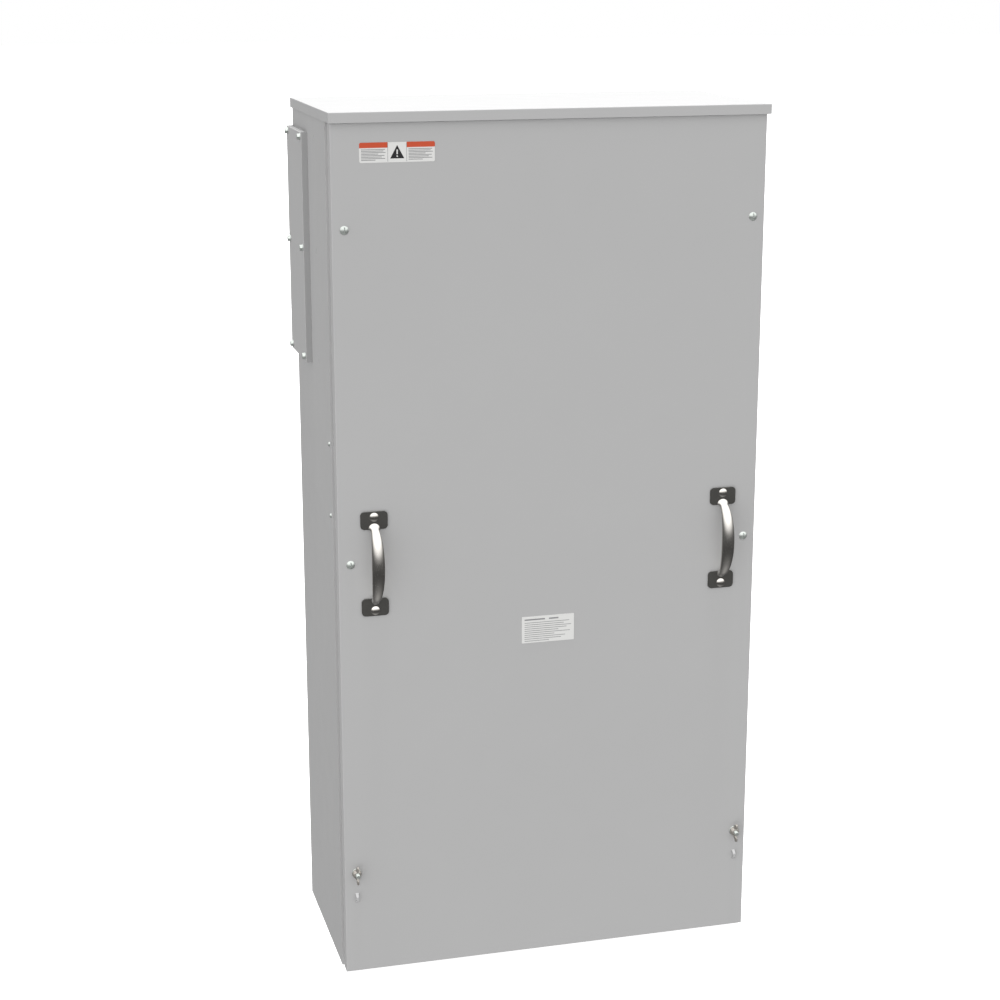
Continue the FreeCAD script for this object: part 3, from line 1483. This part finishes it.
def fuses():
    """Control fuse block with a pull-out carrier."""
    left, right = "fuse_left", "(fuse_left + fuse_width)"
    low, high = "fuse_bottom", "(fuse_bottom + fuse_height)"
    front = f"({PANEL} - fuse_depth)"
    case = block((left, right), (front, PANEL), (low, high))
    well = block((f"{left} + fuse_wall", f"{right} - fuse_wall"),
                 (f"{front} - overrun", f"{PANEL} - fuse_floor"),
                 (f"{low} + fuse_wall", f"{high} - fuse_wall"))
    sub_part(cut(fuse(case, foot_plate("fuse", "fuse_foot_inset")), well,
                 *screw_holes(middle_feet("fuse"))), "fuse_block")
    inset = "(fuse_wall + carrier_gap)"
    face = f"({front} - carrier_stand)"
    middle = "(fuse_bottom + fuse_height / 2)"
    carrier = block((f"{left} + {inset}", f"{right} - {inset}"),
                    (face, f"{PANEL} - fuse_floor - overrun"), (f"{low} + {inset}", f"{high} - {inset}"))
    bail = block((f"{left} + bail_inset", f"{right} - bail_inset"), (f"{face} - bail_reach", face),
                 (f"{middle} - bail_half_height", f"{middle} + bail_half_height"))
    grip_half = "(bail_half_height - bail_thickness)"
    gap = block((f"{left} + bail_inset - overrun", f"{right} - bail_inset + overrun"),
                (f"{face} - bail_reach + bail_thickness", face),
                (f"{middle} - {grip_half}", f"{middle} + {grip_half}"))
    sub_part(fuse(carrier, cut(bail, gap)), "fuse_pullout")


def transformer():
    """Laminated core with its winding, on a foot."""
    left, right = "transformer_left", "(transformer_left + transformer_width)"
    low, high = "transformer_bottom", "(transformer_bottom + transformer_height)"
    front = f"({PANEL} - transformer_depth)"
    core = block((left, right), (f"{front} + core_setback", f"{PANEL} - core_setback"), (low, high))
    winding = block((f"{left} + winding_inset", f"{right} - winding_inset"),
                    (front, f"{PANEL} - winding_lift"),
                    (f"{low} + winding_trim", f"{high} - winding_trim"))
    posts = block((f"{left} + core_setback", f"{right} - core_setback"),
                  (f"{PANEL} - core_setback", f"{PANEL} - foot_thickness"),
                  (f"{low} + foot_thickness", f"{high} - foot_thickness"))
    foot = foot_plate("transformer", "bracket_inset")
    sub_part(cut(fuse(core, winding, foot, posts), *screw_holes(middle_feet("transformer"))),
             "control_transformer")


def terminal_strip():
    """Rail with control terminals, each its own moulded block."""
    bottom, top = "strip_bottom", "(strip_bottom + strip_height)"
    front = f"({PANEL} - strip_depth)"
    rail = block(("strip_left", f"strip_left + {TERMINALS} * strip_pitch"),
                 (f"{PANEL} - rail_depth", PANEL), (f"{bottom} + rail_trim", f"{top} - rail_trim"))
    blocks = [rail]
    for step in range(TERMINALS):
        x = f"(strip_left + {step} * strip_pitch)"
        body = block((f"{x} + strip_gap", f"{x} + strip_pitch - strip_gap"),
                     (front, f"{PANEL} - rail_depth - rail_gap"), (bottom, top))
        notches = [
            block((f"{x} + notch_wall", f"{x} + strip_pitch - notch_wall"),
                  (f"{front} - overrun", f"{front} + notch_depth"), (low, f"{low} + notch_height"))
            for low in (f"{bottom} + notch_inset", f"{top} - notch_inset - notch_height")
        ]
        blocks.append(cut(body, *notches))
    sub_part(group(blocks), "terminal_strip")


def ways(name, count):
    """Evenly spaced places along a bar."""
    return [f"({name}_left + {name}_width * {(step + 0.5) / count})" for step in range(count)]


def neutral_and_ground():
    """Neutral bar on insulators and equipment ground bar on the panel."""
    left = "neutral_left"
    back = f"({PANEL} - insulator_length)"
    middle = "neutral_bottom + neutral_height / 2"
    bar = block((left, f"{left} + neutral_width"), (f"{back} - neutral_depth", back),
                ("neutral_bottom", "neutral_bottom + neutral_height"))
    holes = []
    for x in ways("neutral", NEUTRAL_WAYS):
        holes.append(hexagon("+z", (x, f"{back} - neutral_depth / 2", "neutral_bottom - overrun"),
                             "neutral_height + 2 * overrun", "neutral_depth / 2"))
        holes.append(rod("+y", (x, f"{back} - neutral_depth - overrun", middle), "neutral_depth / 2",
                         "lug_screw_radius + running_gap"))
    sub_part(cut(bar, *holes), "neutral_bar")
    posts = [rod("+y", (f"{left} + {share} * neutral_width", back, middle), "insulator_length",
                 "insulator_radius") for share in (0.25, 0.75)]
    sub_part(group(posts), "bar_insulators")

    rail = block(("ground_left", "ground_left + ground_width"), (f"{PANEL} - ground_depth", PANEL),
                 ("ground_bottom", "ground_bottom + ground_height"))
    cable_ways, heads = [], []
    for x in ways("ground", GROUND_WAYS):
        start = (x, f"{PANEL} - ground_depth / 2", "ground_bottom - overrun")
        cable_ways.append(hexagon("+z", start, "ground_height + 2 * overrun", "ground_depth / 2"))
        heads.append(rod("-y", (x, f"{PANEL} - ground_depth", "ground_bottom + ground_height / 2"),
                         "ground_screw_height", "ground_screw_radius"))
    sub_part(fuse(cut(rail, *cable_ways), *heads), "ground_bar")


def wiring_harness():
    """Laced control loom from the controller down and across to the fuses and terminals."""
    fuse_middle = "fuse_bottom + fuse_height / 2"
    corners = [
        ("harness_x", "harness_top"),
        ("harness_x", "harness_z"),
        ("harness_left", "harness_z"),
        ("harness_left", fuse_middle),
    ]
    pieces = []
    for x, z in corners:
        ball = doc.addObject("Part::Sphere", "Elbow")
        bind(ball, "Radius", "harness_radius")
        place(ball, (x, "harness_y", z))
        pieces.append(ball)
    radius = "harness_radius"
    pieces.append(rod("-z", ("harness_x", "harness_y", "harness_top"), "harness_top - harness_z", radius))
    pieces.append(rod("-x", ("harness_x", "harness_y", "harness_z"), "harness_x - harness_left", radius))
    pieces.append(rod("+z", ("harness_left", "harness_y", "harness_z"),
                      f"{fuse_middle} - harness_z", radius))
    sub_part(fuse(*pieces), "wiring_harness")


# ---------------------------------------------------------------- build and write


def build():
    fill_sheet()
    for make in (enclosure_body, base_pan, gland_plate, roof, front_collar, cover_studs,
                 cover_nut_clips, side_bracket, front_cover, cover_gasket, handles, seal_loops,
                 cover_labels, cover_fasteners, side_cover, mounting_panel, transfer_base,
                 stationary_bars, phase_barriers, arc_chutes, mechanism_frame, rotating_parts,
                 solenoid, auxiliary_switches, cable_lugs, breaker, controller, fuses, transformer,
                 terminal_strip, neutral_and_ground, wiring_harness):
        make()
    doc.recompute()


def check():
    """Stop if any object failed to build or any sub-part is empty or invalid."""
    failed = [item.Name for item in doc.Objects if {"Invalid", "Error"} & set(item.State)]
    bad = [item.Label for item in sub_parts if item.Shape.isNull() or not item.Shape.isValid()]
    if failed or bad:
        raise RuntimeError(f"failed objects {failed}, bad shapes {bad}")


def write():
    os.makedirs("parts", exist_ok=True)
    for item in sub_parts:
        item.Shape.exportStep(os.path.join("parts", item.Label + ".step"))
    print(len(sub_parts), "sub-parts written")


build()
check()
write()
